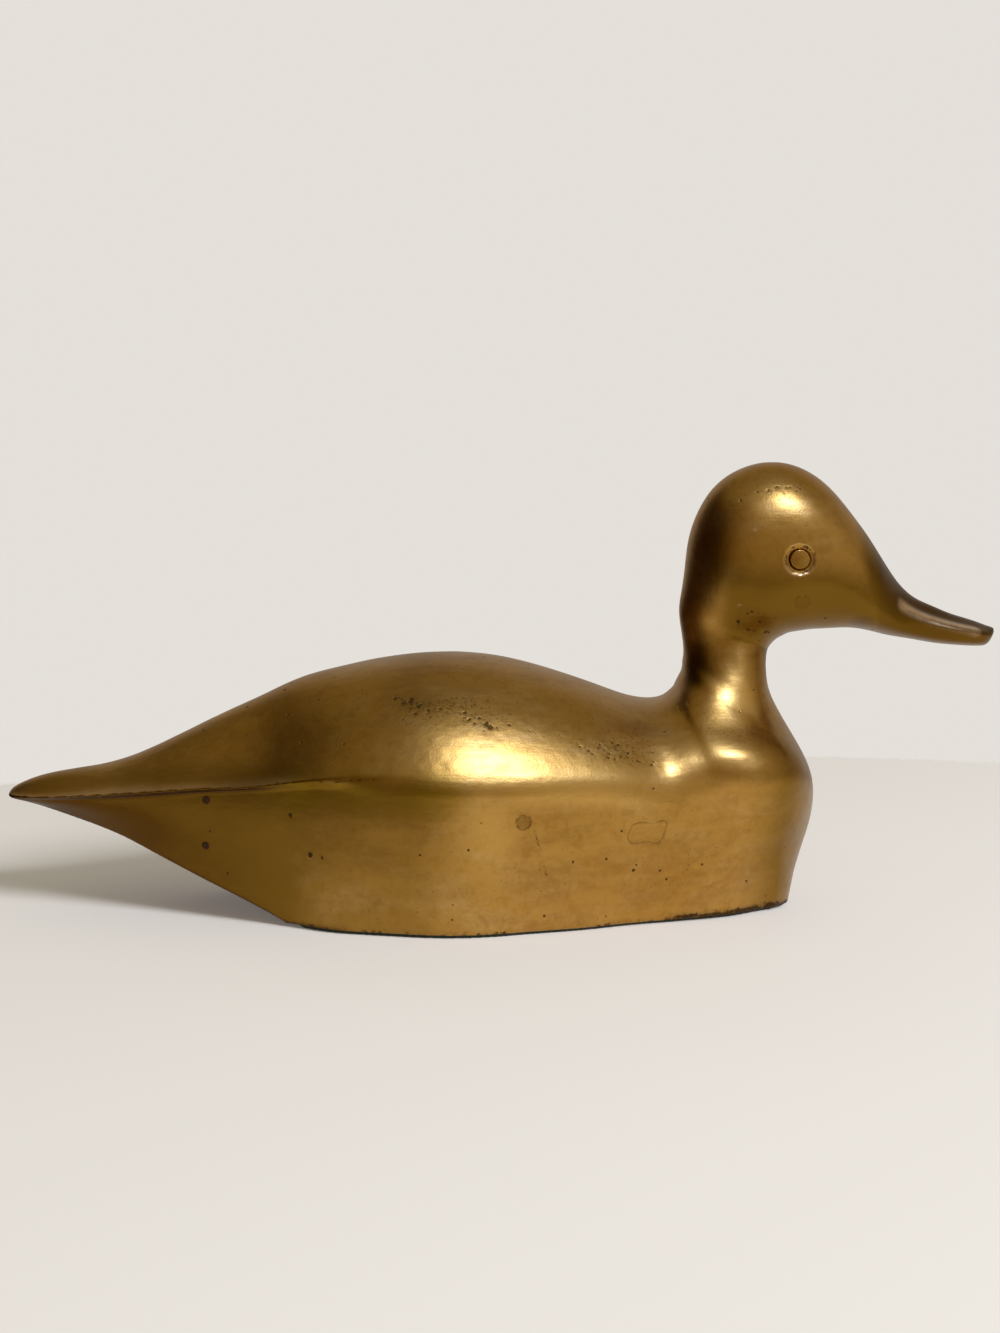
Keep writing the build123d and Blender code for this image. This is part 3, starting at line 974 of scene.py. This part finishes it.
def old_brass(name, tint=1.0):
    """Cast brass, rubbed smooth and tarnished in patches, with pits and fine scratches."""
    f = Finish(name, Metallic=1.0, Coat_Roughness=0.16, Coat_Weight=0.05)
    f.folded = f.both_sides()
    f.broad = f.noise(34, 3, 0.55)
    f.patches = f.noise((17, 9, 8), 3, 0.6, shift=(3, 1, 2), warp=0.4)
    f.streaks = f.noise((26, 3.2, 2.6), 3, 0.6, shift=(5, 2, 7))
    f.flecks = f.noise(1.7, 2, 0.6, shift=(9, 4, 1))
    grain = f.noise(0.5, 1, 0.5)
    colour, tarnish = tarnished_gold(f)
    colour = with_zones(f, colour)
    holes = f.rise(f.specks(hole_spacing), 0.115, 0.06) * f.rise(f.speck_luck(hole_spacing), 0.78, 0.84)
    pits = ragged_pits(f, holes)
    colour = f.blend(pits * 0.80, colour, dirt_and_shade)
    lines = fine_outlines(f)
    colour = f.blend(lines * 0.45, colour, dirt_and_shade)
    # Stains and soiling, with the painted shade of the tail's creases and the darker foot edge
    grime = f.painted("grime")
    colour = f.blend(f.rise(grime, 0.0, 0.8) * 0.35, colour, stain_and_shade)
    grimy_and_shaded = f.rise(grime + (f.flecks - 0.5) * 1.5, 0.46, 0.80)
    colour = f.blend(grimy_and_shaded * 0.9, colour, dirt_and_shade)
    if tint != 1.0:
        colour = f.blend(1 - tint, colour, dirt_and_shade)
    rough = plain_rough + tarnish * 0.06 + pits * 0.3 + grimy_and_shaded * 0.2 + (grain - 0.5) * 0.05
    ground = f.bumpy(f.flecks * 0.6 + grain * 0.4, grain_height)
    lined = f.bumpy(f.streaks, streak_height, ground)
    normal = f.bumpy(1 - f.larger(holes, lines * 0.6), hole_depth, lined)
    return f.done(Base_Color=colour, Roughness=rough, Normal=normal)


def iron(name):
    """Rusted iron, cut flush and dark."""
    f = Finish(name, Specular_IOR_Level=0.15)
    flecks = f.noise(0.7, 2, 0.6)
    tone = f.blend(f.rise(flecks, 0.35, 0.65), *rust)
    return f.done(Base_Color=tone, Roughness=0.5 + flecks * 0.3, Normal=f.bumpy(flecks, 0.08 * mm))


def felt_cloth(name):
    """Thin dark green felt."""
    f = Finish(name, Roughness=0.95, Sheen_Weight=0.3, Sheen_Roughness=0.5)
    fibres = f.noise(0.5, 3, 0.7)
    tone = f.blend(f.rise(fibres, 0.3, 0.7), *felt_green)
    return f.done(Base_Color=tone, Normal=f.bumpy(fibres, 0.25 * mm))


# How light the let-in pieces are beside the skin
tints = {"flank_plugs": 0.72, "cheek_plugs": 0.92, "let_in_patch": 0.93}
for piece, _, _ in dressed:
    if piece == tail_pins:
        finish = iron("pin_iron")
    else:
        finish = old_brass(piece.name + "_brass", tints.get(piece.name, 1.0))
    piece.data.materials.append(finish)


def felt_sheet():
    """The felt under the foot: one flat closed sheet."""
    felt = welded_copy(["base_felt"], "felt_sheet")
    work(felt, "REMESH", mode="VOXEL", voxel_size=felt_voxel)
    work(felt, "SMOOTH", factor=0.5, iterations=2)
    points = points_of(felt)
    low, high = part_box("base_felt")
    points[:, 2] = np.clip(points[:, 2], low.z, high.z)
    move_points(felt, points)
    felt.data.materials.append(felt_cloth("felt_cloth"))
    smooth_all(felt)
    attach(felt, "root")
    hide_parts("base_felt")
    return felt


felt_sheet()


# Stage, light and camera

wall_colour = (0.78, 0.745, 0.70)
table_colour = (0.84, 0.832, 0.845)

# The round table top as the camera sees it, and how far it reaches towards the dark side
table_centre = (0.06, -0.19)
table_radius = 0.46
table_edge = 0.004
lit_centre = (0.17, -0.055)
lit_radii = (0.37, 0.305)
lit_edge = (1.12, 0.86)
floor_radius = 3.0
floor_glow = (1, 0.97, 0.98, 1)

# What the metal mirrors round the horizon and below it, by the way it looks: 0 is the camera's
# side, 90 the bill's and -90 the tail's. The room is dark on the tail's side, and a pale wall
# stands behind.
room = [(-180, (0.44, 0.41, 0.38)), (-144, (0.34, 0.30, 0.25)), (-132, (0.020, 0.006, 0.001)),
        (-70, (0.020, 0.006, 0.001)), (-54, (0.13, 0.080, 0.018)), (-30, (0.23, 0.165, 0.045)),
        (-8, (0.33, 0.26, 0.12)), (20, (0.44, 0.385, 0.28)), (55, (0.44, 0.385, 0.30)),
        (95, (0.32, 0.265, 0.18)), (125, (0.34, 0.29, 0.21)), (152, (0.40, 0.37, 0.33)),
        (180, (0.44, 0.41, 0.38))]
room_below = [(-180, (0.60, 0.57, 0.54)), (-156, (0.40, 0.36, 0.30)), (-147, (0.025, 0.010, 0.002)),
              (-64, (0.025, 0.010, 0.002)), (-35, (0.15, 0.095, 0.02)), (0, (0.30, 0.22, 0.075)),
              (25, (0.38, 0.31, 0.16)), (45, (0.38, 0.31, 0.17)), (100, (0.38, 0.32, 0.20)),
              (150, (0.41, 0.38, 0.34)),
              (180, (0.60, 0.57, 0.54))]
upper_wall = (0.29, 0.24, 0.10)
ceiling = (0.27, 0.25, 0.22)


def floor():
    """A table top that ends in front of a plain wall of almost the same tone."""
    bpy.ops.object.select_all(action="DESELECT")
    bpy.ops.mesh.primitive_circle_add(vertices=96, radius=floor_radius, fill_type="NGON")
    ground = bpy.context.object
    ground.name = "floor"
    f = Finish("floor_paint", Roughness=0.9, Emission_Color=floor_glow, Emission_Strength=0.11)
    x, y, _ = f.xyz(f.place)
    far = ((x - table_centre[0]) ** 2 + (y - table_centre[1]) ** 2) ** 0.5 - table_radius
    seen = f.node("ShaderNodeLightPath", out="Is Camera Ray")
    in_view = f.rise(far, table_edge, -table_edge)
    lit_x = (x - lit_centre[0]) / lit_radii[0]
    lit_y = (y - lit_centre[1]) / lit_radii[1]
    lit = f.rise((lit_x ** 2 + lit_y ** 2) ** 0.5, *lit_edge)
    f.done(Base_Color=(*table_colour, 1), Alpha=seen * in_view + (1 - seen) * lit)
    ground.data.materials.append(f.material)


floor()


# The place on the duck that the lamps are aimed at
aim = (0.02, 0, 0.06)


def lamp(name, azimuth, elevation, distance, size, power, colour=(1, 1, 1)):
    """A soft lamp. Azimuth 0 is the camera's side, and 90 is the bill's."""
    light = bpy.data.lights.new(name, "AREA")
    light.shape = "RECTANGLE"
    light.size, light.size_y = size
    light.energy = power
    light.color = colour
    place = bpy.data.objects.new(name, light)
    bpy.context.scene.collection.objects.link(place)
    a, e = math.radians(azimuth), math.radians(elevation)
    way = Vector((math.sin(a) * math.cos(e), -math.cos(a) * math.cos(e), math.sin(e)))
    place.location = Vector(aim) + way * distance
    place.rotation_euler = way.to_track_quat("Z", "Y").to_euler()
    return place


# The small lamp gives the metal its highlights, and the wide one the table its light and shadow.
small_lamp = lamp("small_lamp", 17, 55, 1.1, (0.20, 0.12), 3.9, (0.80, 1.0, 1.70))
small_lamp.visible_diffuse = False
wide_lamp = lamp("wide_lamp", 50, 31, 2.8, (1.0, 0.8), 78)
wide_lamp.visible_glossy = False


def light_room():
    """The room round the table. The camera sees its pale wall on every side."""
    world = bpy.data.worlds.new("room")
    bpy.context.scene.world = world
    b = Bench(world)
    x, y, z = b.xyz(b.node("ShaderNodeTexCoord", out="Generated"))
    turn = b.maths("ARCTAN2", x, 0 - y) / (2 * math.pi) + 0.5
    bands = []
    for band_stops in (room, room_below):
        stops = [((angle + 180) / 360, colour) for angle, colour in band_stops]
        bands.append(b.node("ShaderNodeValToRGB", {"stops": stops}, {"Fac": turn}))
    seen = b.node("ShaderNodeLightPath", out="Is Camera Ray")
    mirrored = b.blend(b.rise(z, 0.06, -0.16), bands[0], bands[1])
    mirrored = b.blend(b.rise(z, 0.58, 0.85), mirrored, upper_wall)
    mirrored = b.blend(b.rise(z, 0.88, 0.98), mirrored, ceiling)
    colour = b.blend(seen, mirrored, wall_colour)
    b.feed(b.nodes["Background"], {"Color": colour, "Strength": 1.0})


light_room()

# The photo's camera, fitted to the duck's base and outline: its focal length and the picture's
# height in pixels, its place, and how far it looks down
focal_length_pixels = 2481
picture_height_pixels = 1333
sensor_size = 36
camera_distance = 0.700
camera_height = 0.155
looks_down = math.radians(7.04)

lens = bpy.data.cameras.new("camera")
lens.lens = focal_length_pixels / picture_height_pixels * sensor_size
lens.sensor_width = sensor_size
lens.clip_start = 0.01
camera = bpy.data.objects.new("camera", lens)
bpy.context.scene.collection.objects.link(camera)
camera.location = (0, -camera_distance, camera_height)
camera.rotation_euler = (math.pi / 2 - looks_down, 0, 0)
bpy.context.scene.camera = camera
bpy.context.scene.view_settings.view_transform = "Standard"
